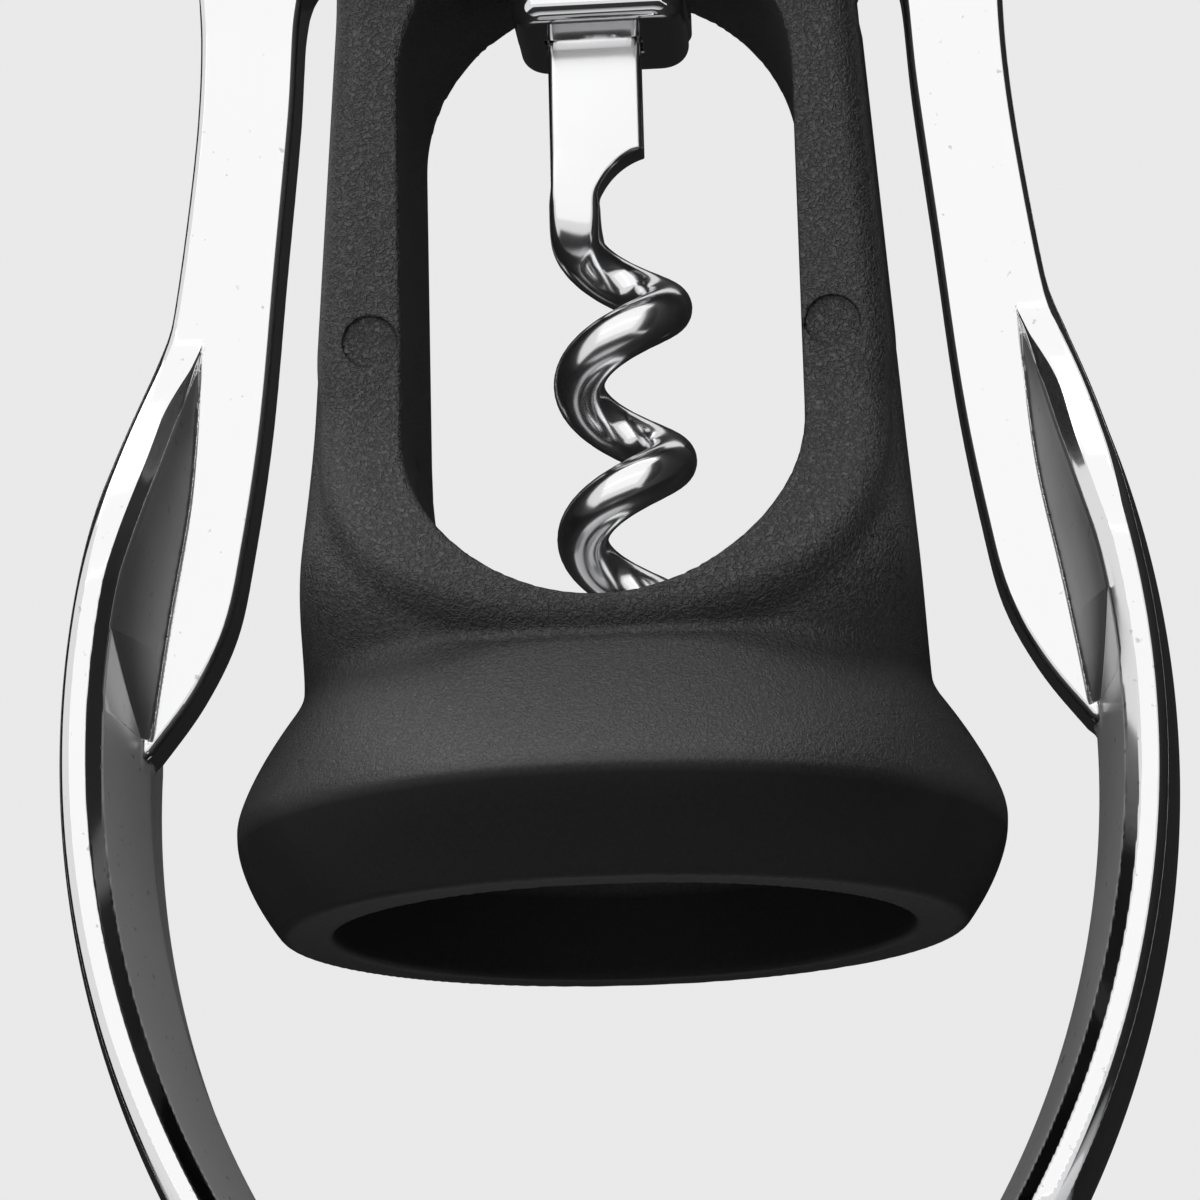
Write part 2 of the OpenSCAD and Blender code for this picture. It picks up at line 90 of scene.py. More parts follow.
RACK_PITCH_R = 4.9
ADDENDUM = 1.2
DEDENDUM = 1.6
FLANK_GAP = 0.2
PRESSURE = math.radians(20)
SWING = 145.0
ROD_R = 1.95
ARM_T = 5.5
BLADE_T = 4.0
ARM_GAP = 0.35
SLOT_H = ARM_T / 2 + ARM_GAP
PAD_W = 20.6
PAD_T = 4.5
PAD_RIM = 2.15
PAD_RISE = 19.0
PAD_CROWN = 1.25
PAD_BOW_R = 55.1
PAD_REACH = 13.52
PAD_START = -37.2
PAD_LOW = -91.0
WEB_STEP = 0.3
WORM_R = 4.15
WIRE_R = 1.5
WORM_PITCH = 9.35
COIL_SHIFT = 0.8
SHANK_W = 5.55
SHANK_T = 2.4
SHANK_L = 11.9
COLLAR_W = 10.6
COLLAR_H = 3.4
COLLAR_FOOT = 1.5
WASHER_T = 0.5
HANDLE_W = 43.0
HANDLE_H = 29.0
HANDLE_T = 7.0
BOSS_R = 6.8
BOSS_H = 9.0
RUN_GAP = 0.05
SEAT_GAP = 0.02
GUIDE_GAP = 0.35
POINT_GAP = 1.0

SECTOR_R = SECTOR_TEETH * TOOTH_PITCH / (2 * math.pi)
SECTOR_TIP = SECTOR_R + ADDENDUM
SECTOR_ROOT = SECTOR_R - DEDENDUM
PIVOT_X = SECTOR_R + RACK_PITCH_R
STROKE = SECTOR_R * math.radians(SWING)
RACK_TIP = RACK_PITCH_R + ADDENDUM
RACK_ROOT = RACK_PITCH_R - DEDENDUM
GUIDE_R = RACK_TIP + GUIDE_GAP
FRAME_TOP = WINDOW_HIGH + 8.2
COLLAR_TOP = WINDOW_HIGH + math.sqrt(WINDOW_R**2 - (COLLAR_W * 0.64) ** 2) - 0.75
SLEEVE_LOW = COLLAR_TOP + WASHER_T + RUN_GAP
SLEEVE_HIGH = HEAD_TOP + STROKE + 0.6
HANDLE_Z = SLEEVE_HIGH + RUN_GAP + WASHER_T
SHANK_TOP = COLLAR_TOP - COLLAR_H - 0.1
COIL_MID = WORM_R - WIRE_R
COIL_X = COIL_SHIFT - COIL_MID
COIL_TOP = SHANK_TOP - SHANK_L
SHANK_LEFT = COIL_X - SHANK_T / 2 - 0.15
POINT_Z = BORE_DEPTH + POINT_GAP
BOW_X = PAD_REACH - PAD_BOW_R
BOW_Z = -65.4
PAD_TOP_ANGLE = 30.5
PAD_TIP_ANGLE = -37.5


# Meshes from distance fields

def ease(t):
    """A smooth step from 0 to 1."""
    u = np.clip(t, 0, 1)
    return u * u * (3 - 2 * u)


def soft_min(a, b, k):
    """Union of two fields, blended over the width k."""
    h = np.clip(0.5 + 0.5 * (b - a) / k, 0, 1)
    return b + (a - b) * h - k * h * (1 - h)


def soft_max(a, b, k):
    """Intersection of two fields, blended over the width k."""
    return -soft_min(-a, -b, k)


def round_both(a, b, r):
    """Intersection of two fields with the edge between them rounded to radius r."""
    outside = np.hypot(np.maximum(a + r, 0), np.maximum(b + r, 0))
    return np.minimum(np.maximum(a, b), -r) + outside


def polygon_field(x, z, points):
    """Signed distance from a closed outline, negative inside."""
    near = np.full(np.broadcast(x, z).shape, 1e9)
    inside = np.zeros(near.shape, bool)
    count = len(points)
    for i in range(count):
        ax, az = points[i]
        bx, bz = points[(i + 1) % count]
        ex, ez = bx - ax, bz - az
        wx, wz = x - ax, z - az
        t = np.clip((wx * ex + wz * ez) / (ex * ex + ez * ez + 1e-12), 0, 1)
        near = np.minimum(near, (wx - ex * t) ** 2 + (wz - ez * t) ** 2)
        crossing = (az > z) != (bz > z)
        if ez != 0:
            inside ^= crossing & (x < ax + ex * (z - az) / ez)
    return np.where(inside, -1, 1) * np.sqrt(near)


def stadium_field(x, z, low, high, r):
    """Distance from an upright slot with round ends."""
    return np.hypot(x, z - np.clip(z, low, high)) - r


def surface(field, low, high, step):
    """Vertices and quads of a field's zero surface, with each vertex drawn onto it."""
    axes = [np.arange(a, b + step, step) for a, b in zip(low, high)]
    gx, gy, gz = np.meshgrid(*axes, indexing="ij", sparse=True)
    count = [len(a) for a in axes]
    values = np.empty(count, np.float32)
    for k in range(0, count[2], 48):
        values[:, :, k:k + 48] = field(gx, gy, gz[:, :, k:k + 48])
    inside = values < 0
    shape = np.array(inside.shape) - 1
    corners = [(i, j, k) for i in (0, 1) for j in (0, 1) for k in (0, 1)]

    def part(array, c):
        return array[c[0]:c[0] + shape[0], c[1]:c[1] + shape[1], c[2]:c[2] + shape[2]]

    total = sum(part(inside, c).astype(np.int8) for c in corners)
    active = (total > 0) & (total < 8)
    cells = np.argwhere(active)
    index = np.full(active.shape, -1, np.int64)
    index[active] = np.arange(len(cells))
    sums = np.zeros((len(cells), 3))
    hits = np.zeros(len(cells))
    for a in corners:
        for axis in range(3):
            if a[axis]:
                continue
            b = tuple(v + (n == axis) for n, v in enumerate(a))
            va = values[tuple((cells + a).T)]
            vb = values[tuple((cells + b).T)]
            cut = (va < 0) != (vb < 0)
            t = np.where(cut, va / np.where(va == vb, 1, va - vb), 0)
            place = np.array(a, float)[None, :].repeat(len(cells), 0)
            place[:, axis] += t
            sums += place * cut[:, None]
            hits += cut
    points = (cells + sums / hits[:, None]) * step + np.array([a[0] for a in axes])
    quads = []
    for axis in range(3):
        u, v = (axis + 1) % 3, (axis + 2) % 3
        first = np.take(inside, np.arange(inside.shape[axis] - 1), axis)
        second = np.take(inside, np.arange(1, inside.shape[axis]), axis)
        edges = np.argwhere(first != second)
        ok = (edges[:, u] > 0) & (edges[:, v] > 0) & (edges[:, u] < shape[u]) & (edges[:, v] < shape[v])
        edges = edges[ok]
        outward = first[tuple(edges.T)]
        around = []
        for du, dv in ((-1, -1), (0, -1), (0, 0), (-1, 0)):
            cell = edges.copy()
            cell[:, u] += du
            cell[:, v] += dv
            around.append(index[tuple(cell.T)])
        ring = np.stack(around, 1)
        ring[~outward] = ring[~outward][:, ::-1]
        quads.append(ring)
    for _ in range(3):
        points = drawn_on(field, points, step)
    return points, np.concatenate(quads)


def slope_of(field, points, here, e):
    """Slope of a field at points where its value is known, taken over the small length e."""
    x, y, z = points.T
    return np.stack([field(x + e, y, z) - here, field(x, y + e, z) - here, field(x, y, z + e) - here], 1) / e


def drawn_on(field, points, step):
    """One step of each point along its field's slope, kept within half a cell."""
    here = field(*points.T)
    slope = slope_of(field, points, here, step * 0.05)
    move = slope * (here / np.maximum((slope**2).sum(1), 1e-6))[:, None]
    length = np.linalg.norm(move, axis=1)
    move *= np.minimum(1, 0.5 * step / np.maximum(length, 1e-9))[:, None]
    return points - move


def refined(field, points, faces, near, step):
    """The same surface with the quads cut into smaller ones where near() says so of their corners."""
    mesh = bpy.data.meshes.new("work")
    mesh.from_pydata(points.tolist(), [], [[int(i) for i in face] for face in faces])
    work = bmesh.new()
    work.from_mesh(mesh)
    bpy.data.meshes.remove(mesh)
    work.verts.ensure_lookup_table()
    marked = near(points)
    edges = [e for e in work.edges if marked[e.verts[0].index] and marked[e.verts[1].index]]
    bmesh.ops.subdivide_edges(work, edges=edges, cuts=3, use_grid_fill=True)
    work.verts.index_update()
    points = np.array([v.co for v in work.verts])
    faces = [[v.index for v in f.verts] for f in work.faces]
    work.free()
    close = near(points)
    for _ in range(4):
        points[close] = drawn_on(field, points[close], step / 4)
    return points, faces


def normals_of(field, points, step):
    """Unit normals of a field at points on its surface."""
    slope = slope_of(field, points, field(*points.T), step * 0.05)
    return slope / np.maximum(np.linalg.norm(slope, axis=1), 1e-9)[:, None]


def mesh_object(name, points, faces, finish, body, slot, *replaced, normals=None, cast=None):
    """A smooth piece in metres that rides on a body and stands for CAD nodes."""
    mesh = bpy.data.meshes.new(name)
    faces = [[int(i) for i in face] for face in faces]
    mesh.from_pydata((points * MM).tolist(), [], faces)
    mesh.validate()
    mesh.shade_smooth()
    if cast is not None:
        mesh.attributes.new("cast", "FLOAT", "POINT").data.foreach_set("value", cast)
    if normals is not None:
        mesh.normals_split_custom_set_from_vertices(normals.tolist())
    mesh.materials.append(finish)
    piece = bpy.data.objects.new(name, mesh)
    bpy.context.scene.collection.objects.link(piece)
    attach(piece, body)
    if replaced:
        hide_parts(*replaced)


# Curves

def spline_path(points, steps):
    """Points along a smooth curve through the given ones."""
    p = np.array(points, float)
    out = []
    for i in range(len(p) - 1):
        a, b, c, d = p[max(i - 1, 0)], p[i], p[i + 1], p[min(i + 2, len(p) - 1)]
        for j in range(steps):
            t = j / steps
            out.append(0.5 * (2 * b + (c - a) * t + (2 * a - 5 * b + 4 * c - d) * t * t
                              + (3 * b - a - 3 * c + d) * t**3))
    out.append(p[-1])
    return [tuple(v) for v in out]


def arc(cx, cz, r, first, last, steps):
    """Points along a circle between two angles in degrees."""
    angles = np.radians(np.linspace(first, last, steps + 1))
    return [(cx + r * math.cos(a), cz + r * math.sin(a)) for a in angles]


# Body

def side_x(z):
    """Half width of the frame at a height: the uprights narrow towards the head."""
    narrowing = UPRIGHT_TOP - UPRIGHT_FOOT
    return WINDOW_R + UPRIGHT_FOOT + narrowing * (z - UPRIGHT_Z) / (FRAME_TOP - UPRIGHT_Z)


def frame_outline():
    """Right half of the frame and head seen from the front, from the waist up, closed on the axis."""
    edge = side_x(FRAME_TOP)
    reach = PIVOT_X + CHEEK_R - edge
    rise = PIVOT_Z - FRAME_TOP
    steps = 16
    flare = [(edge + reach * float(ease(i / steps)), FRAME_TOP + rise * i / steps) for i in range(steps + 1)]
    lobe = arc(PIVOT_X, PIVOT_Z, CHEEK_R, 0, 75, 10)[1:]
    crown = [(GUIDE_R + 4.5, HEAD_TOP - 1.2), (GUIDE_R + 3.3, HEAD_TOP)]
    foot = CREST_Z + 2
    return [(side_x(foot), foot)] + flare + lobe + crown + [(-20, HEAD_TOP), (-20, foot)]


def front_half(z):
    """Half depth of the frame at a height: it swells over the foot and again at the head."""
    swell = (FRAME_SWELL + 0.2) * ease((30.5 - z) / 13.5)
    return FRAME_D / 2 + swell + (HEAD_D - FRAME_D) / 2 * ease((z - FRAME_TOP + 5) / 12)


def band_field(x, z):
    """Outline of the raised band around the window's foot, which widens into the uprights."""
    reach = np.maximum(BAND_TOP - z, 0) / (BAND_TOP - WAIST_Z + 0.4)
    power = 2.7
    rho = ((np.abs(x) / BAND_X) ** power + reach**power + 1e-9) ** (1 / power)
    return (rho - 1) * (BAND_X - 0.6) - 0.2 * np.maximum(z - BAND_TOP, 0)


def oblong_field(x, y, wide, deep, power):
    """Radial distance from an oblong section with rounded corners."""
    rho = ((np.abs(x) / wide) ** power + (np.abs(y) / deep) ** power + 1e-9) ** (1 / power)
    return 0.85 * (rho - 1) * np.hypot(x, y) / rho


def bell_field(x, y, z):
    """Skirt and flare, with the rounded flanks that run up beside the frame."""
    u = np.clip((z - CREST_Z) / (WAIST_Z - CREST_Z), 0, 1.6)
    front = np.clip((z - CREST_Z + 0.6) / (WAIST_Z - CREST_Z + 0.6), 0, 1.6)
    side = side_x(z) + 0.1 - 2 * ease((z - 33) / 6)
    wide = soft_max(CREST_R - 5.4 * u**1.4, side, 0.6)
    neck = FRAME_D / 2 + FRAME_SWELL - 0.9
    deep = soft_max(CREST_R + (neck - CREST_R) * front**1.08, front_half(z) - 0.8, 0.5)
    power = 2 + 0.4 * np.minimum(u, 1) + 3.4 * ease((z - 13.5) / 8)
    flare = oblong_field(x, y, wide, deep, power)
    skirt = CREST_R - BELL_SWELL * np.clip(1 - z / CREST_Z, 0, 1.2) ** 1.8
    bell = soft_max(flare, (np.hypot(x, y) - skirt) * 0.85, 0.18)
    return round_both(soft_max(bell, z - 40, 1), -z, 0.35)


def body_field(x, y, z):
    """Bell, frame and head, with the bore, window, guide, lever slots, rivet holes and marks cut in."""
    ax = np.abs(x)
    ay = np.abs(y)
    outline = polygon_field(ax, z, frame_outline())
    draft = (0.07 * ay - 0.2) * ease((FRAME_TOP + 4 - z) / 8)
    plate = round_both(soft_max(outline + draft, band_field(x, z), 0.6), ay - front_half(z), EDGE_R)
    solid = soft_min(bell_field(x, y, z), plate, 0.9 - 0.75 * ease((z - 23) / 7))
    bore = np.maximum(np.hypot(x, y) - BORE_R, z - BORE_DEPTH)
    passage = np.maximum(np.hypot(x, y) - WINDOW_R, z - WINDOW_LOW)
    window = stadium_field(x, z, WINDOW_LOW, WINDOW_HIGH, WINDOW_R)
    solid = soft_max(solid, -bore, 0.5)
    solid = soft_max(solid, -passage, 0.25)
    solid = soft_max(solid, -window, 0.3)
    guide = np.maximum(np.hypot(x, y) - GUIDE_R, WINDOW_HIGH - z)
    room = np.minimum(np.hypot(ax - PIVOT_X, z - PIVOT_Z) - SECTOR_TIP - 0.5,
                      np.maximum(side_x(FRAME_TOP) + ARM_GAP - ax, FRAME_TOP - 3 - z))
    slot = np.maximum(room, ay - SLOT_H)
    pin = np.hypot(ax - PIVOT_X, z - PIVOT_Z)
    head = np.maximum(pin - RIVET_HEAD_R - 0.3, HEAD_D / 2 - RIVET_HEAD_H - ay)
    rivet = np.minimum(pin - PIN_R - SEAT_GAP, head)
    mark = np.maximum(np.hypot(ax - MARK_X, z - MARK_Z) - MARK_R, y + FRAME_D / 2 - MARK_DEPTH)
    for cut in (guide, slot, rivet):
        solid = soft_max(solid, -cut, 0.35)
    return soft_max(solid, -mark, 0.06)


def near_edge(p):
    """Around the two marks and along the bell's crest."""
    x, y, z = p.T
    mark = (np.hypot(np.abs(x) - MARK_X, z - MARK_Z) < MARK_R + 0.8) & (y < -FRAME_D / 2 + 1)
    return mark | ((np.abs(z - CREST_Z + 0.3) < 0.8) & (np.hypot(x, y) > CREST_R - 1.2))


# Levers, with the pivot at the origin

def tooth_half_angle(r):
    """Half the angle of an involute tooth at a radius."""
    base = SECTOR_R * math.cos(PRESSURE)
    turn = math.acos(base / max(r, base + 0.001))
    thick = (TOOTH_PITCH / 2 - 2 * FLANK_GAP) / 2 / SECTOR_R
    return thick + math.tan(PRESSURE) - PRESSURE - (math.tan(turn) - turn)


def sector_outline():
    """Toothed sector of the right lever, closed through the pivot's middle."""
    step = 2 * math.pi / SECTOR_TEETH
    count = int((SWING + 18) // (360 / SECTOR_TEETH)) + 3
    first = math.pi + step * 1.5
    root = SECTOR_ROOT - 0.1
    radii = np.linspace(SECTOR_ROOT, SECTOR_TIP, 7)
    points = []
    for k in range(count):
        middle = first - k * step
        gap = middle + step / 2
        points.append((root * math.cos(gap), root * math.sin(gap)))
        sides = [(r, middle + tooth_half_angle(r)) for r in radii]
        sides += [(r, middle - tooth_half_angle(r)) for r in radii[::-1]]
        points += [(r * math.cos(a), r * math.sin(a)) for r, a in sides]
    last = first - (count - 0.5) * step
    points.append((SECTOR_ROOT * math.cos(last), SECTOR_ROOT * math.sin(last)))
    return points + [(0, 0)]


def arm_outline():
    """The arm from the front: down its inner edge, along the pad and up its outer edge."""
    inner = spline_path([(-8.6, -7.4), (-6.2, -11.2), (-3.1, -14.2), (-1.1, -16.2), (-0.3, -18.8),
                         (0.13, -25.2), (1.03, -34.5), (1.93, -44), (3.08, -51.6), (4.13, -56.4),
                         (6.1, -60.4), (8.6, -63.8)], 6)
    outer = spline_path([(10.1, -47.2), (8.6, -41.5), (7.55, -38.3), (6.42, -30.3), (5.83, -24),
                         (5.75, -18.6), (6.15, -14.5), (7.4, -10.3), (9.4, -6), (11.2, -2)], 6)
    return inner + arc(BOW_X, BOW_Z, PAD_BOW_R - 0.6, -2, 19, 14) + outer + [(0, 0)]


# The edge of the arm's blade beside the pocket, and the foot of the pad's rim across from it
BLADE = spline_path([(5.65, -39.2), (6.01, -44.9), (6.5, -49.6), (7.46, -55), (8.21, -59.8), (8.65, -63)], 5)
RIM_FOOT = spline_path([(9.1, -62.6), (9.3, -60), (9, -57.2), (8.1, -51.2), (7.1, -45.4), (6.3, -41.5),
                        (5.95, -39)], 5)
WEB_LOW = BLADE_T / 2 - WEB_STEP


def pad_half(z):
    """Half width of the pad at a height: it widens below the arm and closes in a round end."""
    tip = BOW_Z + PAD_BOW_R * math.sin(math.radians(PAD_TIP_ANGLE))
    start = BLADE_T / 2 - 0.3
    upper = start + (PAD_W / 2 - start) * ease((PAD_START - z) / PAD_RISE)
    end = np.clip((z - PAD_LOW) / (tip - 0.3 - PAD_LOW), 0, 1)
    power = 2.6
    return np.where(z > PAD_LOW, upper, PAD_W / 2 * np.maximum(1 - end**power, 1e-4) ** (1 / power))


def pad_faces(x, y, z):
    """Fields of the pad's crowned back and of its ridged inner side.

    The pad is thinner where it leaves the arm.
    """
    t = np.abs(y) / (PAD_W / 2)
    rho = np.hypot(x - BOW_X, z - BOW_Z)
    back = PAD_BOW_R + np.clip((z + 48.5) / 10, 0, 1.2) ** 1.6
    thick = PAD_T - 2.2 * (1 - ease((-38 - z) / 16))
    ridge = np.sqrt(t**2 + 0.0004) - 0.02
    return rho - back + PAD_CROWN * t**2, back - thick + (PAD_T - PAD_CROWN - PAD_RIM) * ridge - rho


def blade_gap(x, z):
    """Distance from the edge of the arm's blade."""
    return np.abs(polygon_field(x, z, BLADE + BLADE[-2:0:-1]))


def web_field(x, y, z):
    """The web climbs from just under the arm's face, at the blade, to the foot of the rim's rounding."""
    blade = blade_gap(x, z)
    across = blade + np.maximum(pad_faces(x, y, z)[1], 0) + 0.05
    full = np.maximum(pad_half(z) - 0.7, WEB_LOW - 0.35) - WEB_LOW
    climb = full * np.clip((z + 63.2) / 5.1, 0, 1) / across
    return (np.abs(y) - WEB_LOW - climb * blade) / np.hypot(1, climb)


def web_region(x, z):
    """Distance from the pocket's outline, between the blade and the rim."""
    return polygon_field(x, z, BLADE + [(px + 0.7, pz) for px, pz in RIM_FOOT])


def cast_finish(points, normals):
    """How rough the casting is left: the webs and the inside of the pad are not polished."""
    x, y, z = points.T
    web = (web_region(x, z) < 0.05) & (np.abs(web_field(x, y, z)) < 0.06)
    away = np.stack([x - BOW_X, z - BOW_Z], 1)
    rho = np.linalg.norm(away, axis=1)
    inward = -(normals[:, 0] * away[:, 0] + normals[:, 2] * away[:, 1]) / rho
    inside = ease((inward - 0.75) / 0.2) * (np.abs(pad_faces(x, y, z)[1]) < 0.15) * (z < -42)
    return np.where(web, 0.95, 0.5 * inside)


def lever_field(x, y, z):
    """Sector, arm and pad with the pocket between arm and rim, its web and the pivot's hole."""
    ay = np.abs(y)
    arm = np.minimum(polygon_field(x, z, arm_outline()), np.hypot(x, z) - 8.6)
    sector = polygon_field(x, z, sector_outline())
    soft = 0.25 + 0.25 * ease((-14 - z) / 6)
    thin = (ARM_T - BLADE_T) / 2 * ease((-11 - z) / 9)
    plate = round_both(soft_min(arm, sector, 0.3), ay - ARM_T / 2 + thin, soft)
    back, inner = pad_faces(x, y, z)
    angle = np.degrees(np.arctan2(z - BOW_Z, x - BOW_X))
    ends = np.maximum(np.radians(PAD_TIP_ANGLE - angle), np.radians(angle - PAD_TOP_ANGLE)) * PAD_BOW_R
    edge = np.maximum(ay - pad_half(z), ends)
    bevel = soft_max(soft_max(inner, edge, 0.1), (inner + edge + 0.8 * ease((-39 - z) / 6)) * 0.707, 0.1)
    pad = round_both(bevel, back, 0.6)
    solid = soft_min(plate, pad, 0.3)
    region = web_region(x, z)
    web = web_field(x, y, z)
    room = np.maximum(np.maximum(region, -web), -inner)
    solid = soft_max(solid, -room, 0.2)
    solid = soft_min(solid, np.maximum(region, web), 0.12)
    return soft_max(solid, PIN_R + RUN_GAP - np.hypot(x, z), 0.2)


def near_web(p):
    """Beside the blade's edge and inside the pocket."""
    x, y, z = p.T
    beside = (blade_gap(x, z) < 0.45) & (np.abs(np.abs(y) - BLADE_T / 2) < 0.6)
    inside = (web_region(x, z) < 0.45) & (np.abs(y) > BLADE_T / 2 - 0.9)
    return beside | inside


# Handle and collar

def handle_field(x, y, z):
    """Oblong ring with the tooth of the cap lifter, on a boss with the rod's bore and the pin's hole."""
    end = HANDLE_H / 2
    bar = 2.6
    mid = HANDLE_Z + BOSS_H + end - 2.2
    span = HANDLE_W / 2 - end
    across = np.abs(x) - np.clip(np.abs(x), 0, span)
    ring = np.abs(np.hypot(across, z - mid) - (end - bar)) - bar
    hole = end - 2 * bar
    foot, tip = mid - hole - 1, mid - hole + 2.6
    tooth = polygon_field(x, z, [(-5.5, foot), (-4, tip), (4, tip), (5.5, foot)])
    loop = round_both(soft_min(ring, tooth, 0.6), np.abs(y) - HANDLE_T / 2, 1.9)
    radial = np.hypot(x, y)
    boss = round_both(radial - BOSS_R, np.abs(z - HANDLE_Z - BOSS_H / 2) - BOSS_H / 2, 0.9)
    solid = soft_min(loop, boss, 1.8)
    bore = np.maximum(radial - ROD_R - SEAT_GAP, z - HANDLE_Z - BOSS_H - 0.6)
    pin = np.hypot(x, z - HANDLE_Z - BOSS_H / 2) - 1.02
    return soft_max(soft_max(solid, -bore, 0.15), -pin, 0.15)


def collar_field(x, y, z):
    """Square block on a rounded foot, with the rod's bore and the seat of the flat shank."""
    def square(w, r):
        qx = np.abs(x) - w / 2 + r
        qy = np.abs(y) - w / 2 + r
        return np.hypot(np.maximum(qx, 0), np.maximum(qy, 0)) + np.minimum(np.maximum(qx, qy), 0) - r

    low = COLLAR_TOP - COLLAR_H
    middle = (COLLAR_TOP + low + COLLAR_FOOT) / 2
    block = round_both(square(COLLAR_W, 1.9), np.abs(z - middle) - (COLLAR_H - COLLAR_FOOT) / 2, 0.4)
    foot = round_both(square(COLLAR_W - 0.4, 1.8), np.abs(z - low - 1.3) - 1.3, 1.15)
    solid = np.minimum(block, foot)
    seat = np.maximum(np.abs(x - SHANK_LEFT - SHANK_W / 2) - SHANK_W / 2, np.abs(y) - SHANK_T / 2) - 0.12
    solid = soft_max(solid, -np.maximum(seat, z - low - 0.7), 0.08)
    return np.maximum(solid, ROD_R + SEAT_GAP - np.hypot(x, y))


# Lathes and the worm

def rounded(profile, r, steps=3):
    """A closed outline with each corner cut to a small arc."""
    p = np.array(profile, float)
    out = []
    for i in range(len(p)):
        a, b, c = p[i - 1], p[i], p[(i + 1) % len(p)]
        la, lc = np.linalg.norm(a - b), np.linalg.norm(c - b)
        s = min(r, 0.4 * la, 0.4 * lc)
        start, end = b + (a - b) * s / la, b + (c - b) * s / lc
        for k in range(steps + 1):
            t = k / steps
            out.append((1 - t) ** 2 * start + 2 * t * (1 - t) * b + t * t * end)
    return np.array(out)


def lathe(profile, segments):
    """Vertices and faces of a closed (radius, height) outline turned about Z."""
    n = len(profile)
    turns = np.linspace(0, 2 * math.pi, segments, endpoint=False)
    points = [(r * math.cos(a), r * math.sin(a), h) for a in turns for r, h in profile]
    faces = []
    for s in range(segments):
        here, after = s * n, ((s + 1) % segments) * n
        for i in range(n):
            j = (i + 1) % n
            faces.append((here + i, after + i, after + j, here + j))
    return np.array(points), np.array(faces)


def rack_profile():
    """Outline of the sleeve and its ring teeth."""
    def half(r):
        return (TOOTH_PITCH / 2 - 2 * FLANK_GAP) / 2 - (r - RACK_PITCH_R) * math.tan(PRESSURE)

    inner, lip = ROD_R + 0.1, RACK_ROOT + 1.4
    out = [(inner, SLEEVE_LOW), (lip, SLEEVE_LOW), (lip, SLEEVE_LOW + 1), (RACK_ROOT, SLEEVE_LOW + 1.2)]
    low = math.ceil((SLEEVE_LOW + 2.5 - PIVOT_Z) / TOOTH_PITCH)
    high = math.floor((SLEEVE_HIGH - 2.5 - PIVOT_Z) / TOOTH_PITCH)
    for k in range(low, high + 1):
        z = PIVOT_Z + k * TOOTH_PITCH
        out += [(RACK_ROOT, z - half(RACK_ROOT)), (RACK_TIP, z - half(RACK_TIP)),
                (RACK_TIP, z + half(RACK_TIP)), (RACK_ROOT, z + half(RACK_ROOT))]
    out += [(RACK_ROOT, SLEEVE_HIGH - 1.2), (lip, SLEEVE_HIGH - 1), (lip, SLEEVE_HIGH), (inner, SLEEVE_HIGH)]
    return rounded(out, 0.3)


